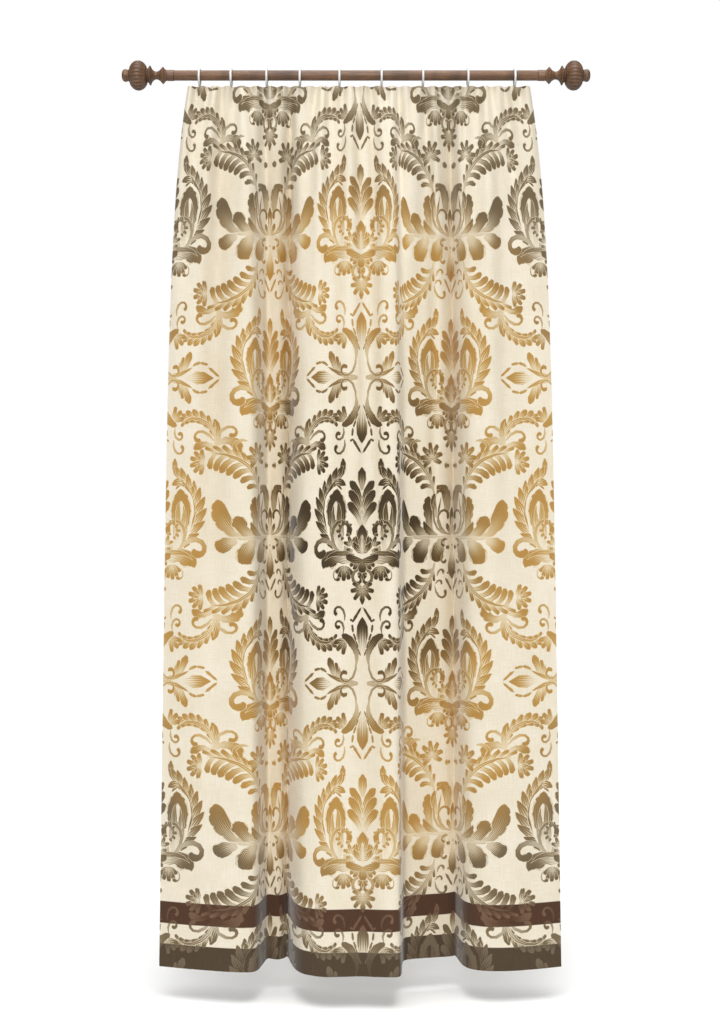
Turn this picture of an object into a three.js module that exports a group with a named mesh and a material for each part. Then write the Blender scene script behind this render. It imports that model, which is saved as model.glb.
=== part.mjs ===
// A damask curtain gathered on its wooden rod: one cloth panel hung in soft folds from nine rings,
// and a turned finial on each end of the rod.
// Millimetres, +Z up. The rod runs along X with the middle of its axis at the origin, and the face of
// the cloth looks towards -Y.

import * as THREE from 'three';

// ---- driving dimensions ----

const joint = 0.3;                    // gap left between pieces that rest on each other

const rod = { radius: 14, length: 1012, sides: 24 };

const ring = { bore: 39, section: 6, sides: 24, sectionSides: 6 };

const panel = {
  width: 1500,                        // flat size of the cloth, side to side
  drop: 2450,                         // and from heading to hem
  thickness: 2,
  headingWidth: 949,                  // what the gathers draw the heading in to
  centre: 8,                          // the panel hangs a little to the right of the rod's middle
};

// How the folds change on the way down. Heights are shares of the drop, 0 at the heading, 1 at the hem.
const fall = {
  quickSpread: 0.6,                   // share of the widening that happens just under the heading
  quickSpreadBy: 0.13,
  foldsRiseBy: 0.13,                  // the main folds are at full depth soon below this
  hemTakesOver: 1.3,                  // power that turns the shoulder's folds into the hem's
  gatherDepth: 8,                     // small gathers at the heading
  gatherGoneBy: 0.06,
  pleatDepth: 10,                     // pleats that two gathers run into
  pleatAt: 0.07,
};

// Rows of rings, each with the gathers between it and the ring before it. The last row is the edge.
const hanging = (x, gathers) => ({ x, gathers });
const heading = [
  hanging(-435, 1),
  hanging(-347, 2.5),
  hanging(-248, 2.5),
  hanging(-156, 2.5),
  hanging(-46, 3),
  hanging(71, 3),
  hanging(186, 3),
  hanging(311, 3.5),
  hanging(441, 3.5),
];
const gathersPastLastRing = 1;

// Main folds, a row for each crest, hollow and wall from the left edge to the right one.
// flat: place across the flat cloth. hung: place across the hem. hem, shoulder: how far the cloth
// stands in front of the rod's axis at the hem and high up, where it has just left the gathers.
const fold = (flat, hung, hem, shoulder) => ({ flat, hung, hem, shoulder });
const folds = [
  fold(-750, -557, -18, -12),         // left edge
  fold(-660, -476, 6, 20),
  fold(-598, -412, 22, 4),
  fold(-558, -362, 32, 24),
  fold(-526, -324, 36, 34),           // left crest
  fold(-498, -294, 34, 34),
  fold(-474, -280, 14, 20),
  fold(-452, -273, -18, -4),
  fold(-430, -267, -52, -30),
  fold(-411, -262, -78, -52),
  fold(-396, -255, -86, -58),         // left hollow
  fold(-374, -243, -80, -54),
  fold(-345, -229, -76, -52),
  fold(-318, -217, -84, -60),
  fold(-297, -208, -98, -78),
  fold(-287, -204, -104, -86),        // its deepest crease
  fold(-277, -199, -92, -74),
  fold(-260, -193, -58, -42),
  fold(-241, -183, -14, -8),
  fold(-222, -171, 20, 14),
  fold(-200, -155, 46, 30),
  fold(-167, -128, 64, 40),
  fold(-119, -92, 76, 42),            // middle crest, left half
  fold(-60, -44, 74, 34),
  fold(-10, 2, 70, 30),
  fold(44, 52, 76, 40),
  fold(84, 89, 78, 41),               // middle crest, right half
  fold(114, 109, 74, 39),
  fold(138, 116, 52, 36),
  fold(162, 118, 10, 31),
  fold(188, 121, -38, 25),
  fold(210, 126, -64, 18),
  fold(229, 136, -74, 12),
  fold(254, 156, -82, 4),             // right hollow
  fold(284, 182, -88, -6),
  fold(314, 208, -93, -16),
  fold(342, 231, -98, -28),
  fold(366, 251, -102, -52),
  fold(382, 262, -106, -78),
  fold(392, 269, -110, -96),
  fold(400, 273, -112, -104),         // its deepest crease
  fold(409, 277, -103, -95),
  fold(430, 283, -68, -55),
  fold(456, 291, -26, -14),
  fold(484, 306, 2, 14),
  fold(512, 330, 18, 26),
  fold(548, 366, 26, 32),             // right crest
  fold(605, 424, 24, 12),
  fold(670, 494, 8, -6),
  fold(750, 564, -14, -12),           // right edge
];

// Narrow creases that run down out of the gathers: place across the flat cloth, half width and depth,
// and the share of the drop by which they have faded.
const crease = (flat, halfWidth, depth, goneBy) => ({ flat, halfWidth, depth, goneBy });
const creases = [
  crease(-592, 34, 14, 0.5),
  crease(-75, 20, 14, 0.3),
  crease(-6, 17, 16, 0.3),
  crease(50, 18, 18, 0.46),
  crease(314, 18, 18, 0.42),
  crease(585, 26, 12, 0.3),
];

// Turned profile of a finial: distance outwards from the rod's end, and radius.
const turning = (out, radius) => ({ out, radius });
const finialProfile = [
  turning(0, 15),                     // collar over the rod's end
  turning(17.5, 15),
  turning(19, 14.2),
  turning(25, 18),
  turning(29.5, 23.5),                // inner bead
  turning(33, 21),
  turning(39, 14.5),
  turning(48, 10.7),                  // waist
  turning(56, 13.5),
  turning(61.5, 20),
  turning(65, 27),                    // outer bead
  turning(68.5, 24.5),
  turning(70, 19.8),                  // groove behind the ball
  turning(74, 19.8),
  turning(77, 27),
  turning(84, 35.5),
  turning(92, 40),
  turning(99, 41),                    // ball
  turning(107, 39.5),
  turning(115, 34),
  turning(121, 26),
  turning(124, 17),
  turning(127, 15.8),                 // button on the tip
  turning(133, 17.2),
  turning(139, 16.2),
  turning(143, 11),
  turning(144.5, 4.5),
];
const finialSides = 24;

// ---- sizes worked out from them ----

const ringRadius = ring.bore / 2 + ring.section / 2;
const ringDrop = ring.bore / 2 - rod.radius - joint;      // the ring's middle below the rod's axis
const headingZ = -(ringDrop + ring.bore / 2 + ring.section + joint);
const rodEnd = rod.length / 2;

// ---- materials ----

const finish = (color, roughness) => new THREE.MeshStandardMaterial({ color, roughness, metalness: 0 });
const damask = finish(0xe3d3ad, 0.75);
const wood = finish(0x7a5f49, 0.55);
const ringPlastic = finish(0xf2f1ee, 0.4);

// ---- the hang of the cloth ----

// Smooth curve through one column of a table, against another column that only grows.
function readTable(table, along, column, at) {
  const last = table.length - 1;
  let i = table.findIndex((row) => row[along] > at) - 1;
  if (i < 0) i = at < table[0][along] ? 0 : last - 1;
  const slope = (k) => {
    const a = table[Math.max(k - 1, 0)];
    const b = table[Math.min(k + 1, last)];
    return (b[column] - a[column]) / (b[along] - a[along]);
  };
  const span = table[i + 1][along] - table[i][along];
  const s = (at - table[i][along]) / span;
  const start = table[i][column] * (1 + 2 * s) * (1 - s) ** 2;
  const end = table[i + 1][column] * (3 - 2 * s) * s ** 2;
  const bend = slope(i) * s * (1 - s) ** 2 - slope(i + 1) * (1 - s) * s ** 2;
  return start + end + bend * span;
}

// Where each half gather ends along the flat heading: a half gather always ends at a ring.
const fullness = panel.headingWidth / panel.width;
const toFlat = (x) => (x - panel.centre) / fullness;
const stations = [{ flat: -panel.width / 2, gathers: 0 }];
for (const row of heading) {
  stations.push({ flat: toFlat(row.x), gathers: stations.at(-1).gathers + row.gathers });
}
stations.push({ flat: panel.width / 2, gathers: stations.at(-1).gathers + gathersPastLastRing });

function between(table, from, to, at) {
  let i = table.findIndex((row) => row[from] > at) - 1;
  if (i < 0) i = table.length - 2;
  const share = (at - table[i][from]) / (table[i + 1][from] - table[i][from]);
  return table[i][to] + share * (table[i + 1][to] - table[i][to]);
}

// Place of a point of the flat cloth once it hangs: flat across, share of the drop.
function hang(flat, down) {
  const quick = (1 - Math.exp(-down / fall.quickSpreadBy)) * fall.quickSpread;
  const spread = quick + down * (1 - fall.quickSpread);
  const gathered = flat * fullness;
  const x = panel.centre + gathered + spread * (readTable(folds, 'flat', 'hung', flat) - gathered);

  const shoulder = readTable(folds, 'flat', 'shoulder', flat);
  const hem = readTable(folds, 'flat', 'hem', flat);
  let main = shoulder + (hem - shoulder) * down ** fall.hemTakesOver;
  for (const row of creases) {
    const fade = Math.exp(-(((flat - row.flat) / row.halfWidth) ** 2) - (down / row.goneBy) ** 2);
    main -= row.depth * fade;
  }
  const risen = 1 - Math.exp(-down / fall.foldsRiseBy);

  const turn = between(stations, 'flat', 'gathers', flat) * 2 * Math.PI;
  const gather = fall.gatherDepth * Math.exp(-down / fall.gatherGoneBy) * Math.sin(turn);
  const ripe = (down / fall.pleatAt) * Math.exp(1 - down / fall.pleatAt);
  const pleat = fall.pleatDepth * ripe * Math.sin(turn / 2 + Math.sin(turn / 9));

  return new THREE.Vector3(x, -(main * risen + gather + pleat), headingZ - down * panel.drop);
}

// ---- cloth: a closed sheet, its face and its back half a thickness to each side of the hang ----

const columnsPerGather = 4;
const heights = [0, 0.018, 0.04, 0.065, 0.095, 0.135, 0.185, 0.25, 0.33, 0.42, 0.52, 0.62, 0.72, 0.82, 0.91, 1];

function clothGeometry() {
  const columnCount = Math.round(stations.at(-1).gathers * columnsPerGather) + 1;
  const step = 1;                     // flat distance over which the cloth's slope is taken
  const face = [];
  const back = [];
  for (const down of heights) {
    for (let c = 0; c < columnCount; c += 1) {
      const flat = between(stations, 'gathers', 'flat', c / columnsPerGather);
      const inside = THREE.MathUtils.clamp(flat, -panel.width / 2 + step, panel.width / 2 - step);
      const low = Math.min(Math.max(down, step / panel.drop), 1 - step / panel.drop);
      const across = hang(inside + step, down).sub(hang(inside - step, down));
      const downwards = hang(flat, low + step / panel.drop).sub(hang(flat, low - step / panel.drop));
      const out = across.cross(downwards).normalize().multiplyScalar(panel.thickness / 2);
      if (out.y > 0) out.negate();
      const middle = hang(flat, down);
      face.push(middle.clone().add(out));
      back.push(middle.clone().sub(out));
    }
  }

  const positions = [...face, ...back].flatMap((point) => point.toArray());
  const index = [];
  const quad = (a, b, c, d) => index.push(a, b, c, a, c, d);
  const at = (r, c) => r * columnCount + c;
  const behind = face.length;
  for (let r = 0; r < heights.length - 1; r += 1) {
    for (let c = 0; c < columnCount - 1; c += 1) {
      quad(at(r, c), at(r + 1, c), at(r + 1, c + 1), at(r, c + 1));
      quad(behind + at(r, c), behind + at(r, c + 1), behind + at(r + 1, c + 1), behind + at(r + 1, c));
    }
  }
  const edge = [];                    // once round the sheet, the heading first
  for (let c = 0; c < columnCount - 1; c += 1) edge.push(at(0, c));
  for (let r = 0; r < heights.length - 1; r += 1) edge.push(at(r, columnCount - 1));
  for (let c = columnCount - 1; c > 0; c -= 1) edge.push(at(heights.length - 1, c));
  for (let r = heights.length - 1; r > 0; r -= 1) edge.push(at(r, 0));
  edge.forEach((a, i) => {
    const b = edge[(i + 1) % edge.length];
    quad(a, b, behind + b, behind + a);
  });

  const geometry = new THREE.BufferGeometry();
  geometry.setAttribute('position', new THREE.Float32BufferAttribute(positions, 3));
  geometry.setIndex(index);
  geometry.computeVertexNormals();
  return geometry;
}

// ---- wood and rings ----

// LatheGeometry turns about Y. This lays that axis along X, with the profile's outward side to +X.
function layAlongX(geometry) {
  return geometry.rotateZ(-Math.PI / 2);
}

function finialGeometry() {
  const points = finialProfile.map((row) => new THREE.Vector2(row.radius, row.out));
  points.unshift(new THREE.Vector2(0, finialProfile[0].out));
  points.push(new THREE.Vector2(0, finialProfile.at(-1).out + joint));
  return layAlongX(new THREE.LatheGeometry(points, finialSides));
}

function ringGeometry() {
  const points = [];
  for (let i = 0; i <= ring.sectionSides; i += 1) {
    const angle = (i / ring.sectionSides) * 2 * Math.PI;
    const out = ringRadius + (Math.cos(angle) * ring.section) / 2;
    points.push(new THREE.Vector2(out, (Math.sin(angle) * ring.section) / 2));
  }
  return layAlongX(new THREE.LatheGeometry(points, ring.sides));
}

// ---- the scene graph ----

const curtain = new THREE.Group();

function add(name, geometry, material) {
  const mesh = new THREE.Mesh(geometry, material);
  mesh.name = name;
  curtain.add(mesh);
  return mesh;
}

add('curtain_cloth', clothGeometry(), damask);
add('rod', new THREE.CylinderGeometry(rod.radius, rod.radius, rod.length, rod.sides).rotateZ(Math.PI / 2), wood);

for (const [name, side] of [['finial_left', -1], ['finial_right', 1]]) {
  const finial = add(name, finialGeometry(), wood);
  finial.position.x = side * (rodEnd + joint);
  if (side < 0) finial.rotation.z = Math.PI;
}

heading.forEach((row, i) => {
  const hoop = add(`ring_${i + 1}`, ringGeometry(), ringPlastic);
  hoop.position.set(row.x, 0, -ringDrop);
});

export default curtain;
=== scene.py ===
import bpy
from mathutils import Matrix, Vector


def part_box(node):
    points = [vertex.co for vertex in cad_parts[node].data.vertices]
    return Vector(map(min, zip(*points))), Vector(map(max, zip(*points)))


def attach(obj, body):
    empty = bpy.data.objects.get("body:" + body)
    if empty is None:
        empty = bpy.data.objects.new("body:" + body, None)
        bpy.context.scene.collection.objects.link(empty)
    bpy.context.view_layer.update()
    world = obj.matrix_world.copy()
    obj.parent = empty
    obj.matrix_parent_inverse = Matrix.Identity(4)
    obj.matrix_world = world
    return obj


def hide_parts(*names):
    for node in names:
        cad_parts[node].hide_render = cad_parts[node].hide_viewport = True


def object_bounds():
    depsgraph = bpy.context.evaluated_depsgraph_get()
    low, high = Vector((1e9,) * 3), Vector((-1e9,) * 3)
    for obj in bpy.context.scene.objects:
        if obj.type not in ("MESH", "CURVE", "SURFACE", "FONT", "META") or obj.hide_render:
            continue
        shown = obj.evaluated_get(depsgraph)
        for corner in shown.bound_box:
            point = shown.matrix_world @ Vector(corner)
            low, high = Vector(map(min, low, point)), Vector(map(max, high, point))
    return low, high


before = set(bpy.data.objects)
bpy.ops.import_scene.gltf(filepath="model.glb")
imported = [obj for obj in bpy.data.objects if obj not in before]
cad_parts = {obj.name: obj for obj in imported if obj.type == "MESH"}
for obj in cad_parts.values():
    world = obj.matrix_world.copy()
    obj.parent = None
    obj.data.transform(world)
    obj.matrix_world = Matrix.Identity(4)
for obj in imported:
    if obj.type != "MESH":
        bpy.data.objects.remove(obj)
cadBox = [list(corner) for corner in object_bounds()]

from math import cos, pi, radians, sin

import bmesh
import bpy
import numpy as np
from mathutils import Matrix, Vector
from mathutils.geometry import delaunay_2d_cdt

mm = 0.001
joint = 0.3 * mm                        # gap left between pieces that rest on each other

# Small helpers


def colour(red, green, blue):           # from the 0 to 255 of a paint chart to linear light
    def light(value):
        value /= 255
        return value / 12.92 if value <= 0.04045 else ((value + 0.055) / 1.055) ** 2.4
    return (light(red), light(green), light(blue), 1)


def newMaterial(name, **sockets):
    material = bpy.data.materials.new(name)
    material.use_nodes = True
    tree = material.node_tree
    shader = tree.nodes["Principled BSDF"]
    for socket, value in sockets.items():
        shader.inputs[socket.replace("_", " ")].default_value = value
    return material, tree, shader


def connect(tree, socket, value):       # a value is a number, a colour or another node's socket
    if isinstance(value, bpy.types.NodeSocket):
        tree.links.new(value, socket)
    elif value is not None:             # None leaves the socket as it is
        socket.default_value = value


def calc(tree, operation, a, b=None, c=None, clamp=False):
    node = tree.nodes.new("ShaderNodeMath")
    node.operation = operation
    node.use_clamp = clamp
    for socket, value in zip(node.inputs, (a, b, c)):
        connect(tree, socket, value)
    return node.outputs[0]


def ease(tree, value, low, high, start=0.0, end=1.0):       # smooth step from low to high
    node = tree.nodes.new("ShaderNodeMapRange")
    node.interpolation_type = "SMOOTHSTEP"
    for socket, given in zip(node.inputs, (value, low, high, start, end)):
        connect(tree, socket, given)
    return node.outputs[0]


def blendColour(tree, share, a, b, mode="MIX"):
    node = tree.nodes.new("ShaderNodeMix")
    node.data_type = "RGBA"
    node.blend_type = mode
    node.clamp_factor = True
    for name, value in (("Factor_Float", share), ("A_Color", a), ("B_Color", b)):
        connect(tree, next(s for s in node.inputs if s.identifier == name), value)
    return next(s for s in node.outputs if s.identifier == "Result_Color")


def ramp(tree, value, stops):
    node = tree.nodes.new("ShaderNodeValToRGB")
    connect(tree, node.inputs["Fac"], value)
    rows = node.color_ramp.elements
    for place, _ in stops[2:]:
        rows.new(place)
    for row, (place, shade) in zip(rows, stops):
        row.position = place
        row.color = shade
    return node.outputs["Color"]


def noise(tree, vector, scale, detail=2.0, roughness=0.5, distortion=0.0):
    node = tree.nodes.new("ShaderNodeTexNoise")
    connect(tree, node.inputs["Vector"], vector)
    node.inputs["Scale"].default_value = scale
    node.inputs["Detail"].default_value = detail
    node.inputs["Roughness"].default_value = roughness
    node.inputs["Distortion"].default_value = distortion
    return node.outputs["Fac"]


def stretch(tree, vector, scale):
    node = tree.nodes.new("ShaderNodeMapping")
    connect(tree, node.inputs["Vector"], vector)
    node.inputs["Scale"].default_value = scale
    return node.outputs[0]


def combine(tree, x, y, z=0.0):
    node = tree.nodes.new("ShaderNodeCombineXYZ")
    for socket, value in zip(node.inputs, (x, y, z)):
        connect(tree, socket, value)
    return node.outputs[0]


def separate(tree, vector):
    node = tree.nodes.new("ShaderNodeSeparateXYZ")
    connect(tree, node.inputs[0], vector)
    return node.outputs


def darkenGround(tree, ground, ink, depth):      # ink is what full depth leaves of the ground's light; it lays the dyes and also the painted crease shade
    thinned = tree.nodes.new("ShaderNodeGamma")
    connect(tree, thinned.inputs["Color"], ink)
    connect(tree, thinned.inputs["Gamma"], depth)
    return blendColour(tree, 1, ground, thinned.outputs[0], "MULTIPLY")


def bump(tree, height, strength, distance):
    node = tree.nodes.new("ShaderNodeBump")
    node.inputs["Strength"].default_value = strength
    node.inputs["Distance"].default_value = distance
    connect(tree, node.inputs["Height"], height)
    return node.outputs["Normal"]


def readAttribute(tree, name):
    node = tree.nodes.new("ShaderNodeAttribute")
    node.attribute_name = name
    return node


def link(piece):
    bpy.context.scene.collection.objects.link(piece)
    return piece


def newPiece(name, mesh, material):
    piece = link(bpy.data.objects.new(name, mesh))
    piece.data.materials.append(material)
    return piece


def bmeshPiece(name, bm, material, smoothBelow=35):
    mesh = bpy.data.meshes.new(name)
    bm.to_mesh(mesh)
    bm.free()
    mesh.shade_smooth()
    mesh.set_sharp_from_angle(angle=radians(smoothBelow))
    return newPiece(name, mesh, material)


# The cloth's figure, drawn flat in millimetres

figure = dict(
    across=390.5,                       # half the width of the repeat, between its two mirror lines
    repeat=841.0,                       # and its height
    middle=1231.0,                      # from the heading down to the garlands' mirror line
    bouquetLow=18,                      # the bouquet and the acanthus sit this far under that line
    acanthusLow=24,
    fineness=0.6,                       # of the stations along a leaf
)

# Half width along a leaf, from its foot to its tip
profiles = {
    "leaf": ((0, .34), (.2, .68), (.42, .95), (.58, 1), (.76, .82), (.9, .48), (1, 0)),
    "flame": ((0, .5), (.2, .78), (.42, 1), (.62, .92), (.8, .62), (.92, .3), (1, 0)),
    "comma": ((0, .4), (.3, .58), (.58, .84), (.78, 1), (.9, .86), (.97, .5), (1, 0)),
    "petal": ((0, .16), (.2, .42), (.42, .76), (.64, 1), (.82, .90), (.94, .56), (1, 0)),
    "lobe": ((0, .34), (.25, .68), (.5, .92), (.7, 1), (.87, .80), (.96, .46), (1, 0)),
    "blade": ((0, .18), (.25, .50), (.5, .92), (.66, 1), (.84, .66), (1, 0)),
    "wing": ((0, .3), (.2, .56), (.45, .86), (.68, 1), (.84, .8), (.94, .4), (1, 0)),
    "bud": ((0, .08), (.2, .55), (.45, 1), (.6, .94), (.82, .5), (1, 0)),
    "bead": ((0, 0), (.12, .66), (.5, 1), (.88, .66), (1, 0)),
    "curl": ((0, .16), (.2, .46), (.45, .56), (.68, .54), (.82, .72), (.92, 1), (.975, .72), (1, 0)),
    "tendril": ((0, .08), (.3, .26), (.6, .3), (.78, .40), (.9, 1), (.96, .78), (1, 0)),
    "stem": ((0, .45), (.15, .8), (.4, 1), (.65, .8), (.85, .44), (1, 0)),
    "line": ((0, .1), (.2, .8), (.5, 1), (.8, .8), (1, .1)),
}


def smoothRow(rows, at):                # smooth curve through the rows of a table
    along, value = (np.array(column, float) for column in zip(*rows))
    last = len(along) - 1
    k = np.arange(last + 1)
    before, after = np.maximum(k - 1, 0), np.minimum(k + 1, last)
    slope = (value[after] - value[before]) / (along[after] - along[before])
    i = np.clip(np.searchsorted(along, at, side="right") - 1, 0, last - 1)
    span = along[i + 1] - along[i]
    s = (at - along[i]) / span
    start = value[i] * (1 + 2 * s) * (1 - s) ** 2
    end = value[i + 1] * (3 - 2 * s) * s ** 2
    return start + end + (slope[i] * s * (1 - s) ** 2 - slope[i + 1] * (1 - s) * s ** 2) * span


# One leaf: it leaves x, y on its heading, turns by bend evenly and by hook towards its tip.
# foot and tip are its depth of colour there. lobes cuts scallops into its rims, on one side only
# where side is 1 or -1. belly fattens its left rim and thins the other.
def leaf(x, y, heading, length, width, bend=0, hook=0, kind="leaf", foot=.34, tip=1.0,
         lobes=0, deep=0.3, side=0, lobesFrom=0.26, belly=0.0):
    t = np.linspace(0, 1, 61)
    turn = heading + bend * t + hook * t ** 3
    step = np.radians((turn[1:] + turn[:-1]) / 2)
    px = x + np.concatenate(([0], np.cumsum(np.cos(step)))) * length / 60
    py = y + np.concatenate(([0], np.cumsum(np.sin(step)))) * length / 60
    half = np.maximum(smoothRow(profiles[kind], t), 0) * width / 2
    # at a fineness of 1, a station for each 30 degrees of turn, 40 mm of length and 9 mm of change in width
    effort = abs(np.diff(turn)) / 30 + length / 60 / 40 + abs(np.diff(half)) * 2 / 9
    effort = np.concatenate(([0], np.cumsum(effort * figure["fineness"])))
    count = max(int(np.ceil(effort[-1])), 3)
    marks = np.interp(np.linspace(0, effort[-1], count + 1), effort, t)
    rims = []
    for hand in (1, -1):
        at, share, forward = marks, np.ones(len(marks)), np.zeros(len(marks))
        if lobes and side in (0, hand):
            plain = marks[marks < lobesFrom - 0.04]
            s = np.tile((0, .2, .5, .8, .95), lobes)
            at = lobesFrom + (1 - lobesFrom) * (np.repeat(np.arange(lobes), 5) + s) / lobes
            hollow = deep * (1 - np.sqrt(np.sin(pi * s)))
            at = np.concatenate((plain, at, [1]))
            share = np.concatenate((np.ones(len(plain)), 1 - hollow, [1]))
            forward = np.concatenate((np.zeros(len(plain)), 0.45 * s, [0]))
        w = np.interp(at, t, half) * share * (1 + belly * hand)
        forward = forward * w * (1 - at)
        h = np.radians(np.interp(at, t, turn))
        rim = np.stack((np.interp(at, t, px) - np.sin(h) * w * hand + np.cos(h) * forward,
                        np.interp(at, t, py) + np.cos(h) * w * hand + np.sin(h) * forward), 1)
        rims.append(rim[w > 0.2])
    spine = np.stack((np.interp(marks, t, px), np.interp(marks, t, py)), 1)
    first = spine[:1] if half[0] < 0.2 else spine[:0]
    last = spine[-1:] if half[-1] < 0.2 else spine[:0]
    rim = np.concatenate((first, rims[0], last, rims[1][::-1]))
    return dict(spine=spine, rim=rim, marks=marks, foot=foot, tip=tip, width=width)


def leaves(rows, **more):
    return [leaf(*row, **more) for row in rows]


def placed(shapes, x=0, y=0, flipX=False, flipY=False):
    flip = np.array((-1 if flipX else 1, -1 if flipY else 1))
    return [dict(s, spine=s["spine"] * flip + (x, y), rim=s["rim"] * flip + (x, y)) for s in shapes]


def both(shapes):
    return shapes + placed(shapes, flipX=True)


# Leaves side by side round a point, the middle ones longer by swell and lying on top
def fan(x, y, first, last, count, length, width, kind="leaf", bend=0, swell=0.0, **more):
    made = []
    for i in sorted(range(count), key=lambda k: -abs(k - (count - 1) / 2)):
        k = i / (count - 1)
        middle = sin(pi * k)
        made.append(leaf(x, y, first + (last - first) * k, length * (1 + swell * middle),
                         width * (1 + swell * .5 * middle), bend * (1 - 2 * k), 0, kind, **more))
    return made


# A curving stem with leaves off its sides, from the tip back, and its own body over their feet.
# A row is the side (1 is its left), how many, the places of the first and last, and their length,
# width, spread off the stem and curl.
def frond(x, y, heading, length, bend, width, rows, kind="flame"):
    made = []
    t = np.linspace(0, 1, 61)
    turn = heading + bend * t
    step = np.radians(turn[:-1])
    px = x + np.concatenate(([0], np.cumsum(np.cos(step)))) * length / 60
    py = y + np.concatenate(([0], np.cumsum(np.sin(step)))) * length / 60
    for side, count, first, last, size, thick, spread, curl in rows:
        for k in reversed(range(count)):
            at = first + (last - first) * (k + .25) / count
            share = .72 + .28 * sin(pi * (at - first) / (last - first))
            x1, y1, along = (np.interp(at, t, line) for line in (px, py, turn))
            made.append(leaf(x1, y1, along + side * spread, size * share, thick * share, side * curl,
                             kind=kind, belly=-side * .2))
    made.append(leaf(x, y, heading, length, width, bend, kind="stem", tip=.9))
    return made


def beads(x, y, radius, first, last, count, size):
    made = []
    for i in range(count):
        turn = first + (last - first) * i / (count - 1)
        share = .7 + .3 * sin(pi * i / (count - 1))
        made.append(leaf(x + radius * cos(radians(turn)), y + radius * sin(radians(turn)), turn,
                         size * share, size * share, kind="bead", foot=.8))
    return made


def bouquet():                          # wreath of leaves round a palmette and two great petals
    half = [leaf(70, 164, 116, 54, 23, -34), leaf(84, 156, 140, 46, 22, -30)]
    half += frond(30, -40, 8, 275, 142, 20, ((-1, 7, .1, .74, 78, 27, 24, -18),
                                             (-1, 4, .66, .98, 62, 25, 18, -8),
                                             (1, 3, .64, .96, 56, 26, 22, 60)))
    half += [leaf(74, -52, 80, 194, 86, 14, 0, "wing", 0, 0)]       # bare rim round the great petal
    half += [leaf(75, -48, 80, 182, 74, 16, 0, "wing", .12, lobes=7, deep=.18, lobesFrom=.42)]
    half += [leaf(82, -30, 86, 128, 36, 8, 0, "petal", .05, .8)]
    half += [leaf(86, 46, 86, 52, 15, 8, 0, "petal", 0, .1)]        # its pale heart
    half += [leaf(66, -46, 24, 178, 20, 170, 130, "curl", .5)] + beads(52, 14, 17, -60, 130, 7, 17)
    half += fan(34, -24, 20, 120, 3, 28, 17)
    half += [leaf(x, y, 0, 15, 15, kind="bead", foot=.6) for x, y in ((37, 5), (17, -26), (36, -36))]
    half += [leaf(28, -62, 18, 124, 54, -24, -90, "wing", .16, lobes=4, side=-1, lobesFrom=.4, belly=-.3)]
    half += [leaf(26, -52, 16, 108, 15, -30, -40, "flame", .6)]
    half += [leaf(84, -38, 58, 150, 28, -120, -230, "curl", .4)]
    half += fan(56, -82, -142, -28, 5, 36, 20, "lobe", swell=.14)
    half += [leaf(86, -86, -50, 52, 19, -60, -190, "tendril")]
    half += fan(15, -66, -104, -30, 3, 29, 18, "lobe") + [leaf(0, -66, -4, 56, 24, 44, 0, "lobe", .7)]
    half += [leaf(4, -92, 16, 104, 19, -270, -130, "curl", .6)]      # over the hanging palmette
    half += leaves(((1, -139, 10, 33, 17, 30), (1, -141, -20, 38, 18, 14), (1, -142, -54, 41, 18, 6)),
                   kind="lobe")
    made = both(half)
    made += [leaf(0, 24, 90, 176, 74, 0, 0, "petal", 0, 0)]
    made += [leaf(0, 128, 90, 64, 32, kind="blade")]                # palmette, from its top down
    made += both(leaves(((2, 52, 96, 112, 26, -52), (2, 40, 88, 98, 28, -46), (2, 28, 74, 80, 28, -36)),
                        kind="comma", foot=.12))
    made += both(leaves(((0, -44, 24, 42, 20, 50), (0, -30, 40, 40, 20, 44), (0, -12, 50, 36, 18, 34))))
    made += [leaf(0, -48, 90, 84, 36, 0, 0, "blade", .2), leaf(0, -44, 90, 50, 10, 0, 0, "petal", .1, .3)]
    return made + [leaf(0, -66, -90, 34, 32, 0, 0, "petal", .6), leaf(0, -140, -90, 48, 19, kind="blade")]


def cross():                            # spearheads to the sides, long buds above and below
    quarter = leaves(((70, 10, 80, 38, 16), (75, 12, 76, 48, 20), (86, 15, 67, 62, 26)), kind="lobe", foot=.3)
    quarter += [leaf(14, 1, 2, 114, 15, 27, 0, "stem", .4, .95)]    # the leaf along the side arm
    quarter += [leaf(20, 66, -96, 132, 14, 68, 292, "curl", .5)]
    quarter += fan(54, 118, -80, -8, 3, 40, 20, "lobe", foot=.4)
    quarter += [leaf(19, 48, 102, 108, 27, -76, -16, "petal", .4, .95, lobes=6, deep=.2, side=-1,
                     lobesFrom=.3)]
    quarter += [leaf(60, 138, 108, 78, 15, -120, -260, "curl", .6)]
    quarter += [leaf(56, 172, 104, 84, 15, -110, -190, "curl", .6)]
    quarter += leaves(((118, 32, 42, 26, 11, -40), (140, 41, -2, 24, 11, -20), (28, 168, 62, 14, 9, -60),
                       (6, 76, 68, 21, 7), (13, 97, 68, 21, 8), (20, 118, 68, 21, 9), (29, 140, 82, 22, 10)),
                      kind="lobe", foot=.8)
    quarter += [leaf(164, 30, -34, 45, 10, -14, kind="line", foot=.95)]
    quarter += [leaf(30, 168, 118, 51, 10, 14, kind="line", foot=.95)]
    made = both(quarter + placed(quarter, flipY=True))
    for way in (1, -1):
        made += [leaf(0, way * 78, way * 90, 105, 40, kind="blade", foot=.05)]
        made += [leaf(way * 96, 0, 90 - way * 90, 86, 40, kind="bud", foot=.1)]
    return made


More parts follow.
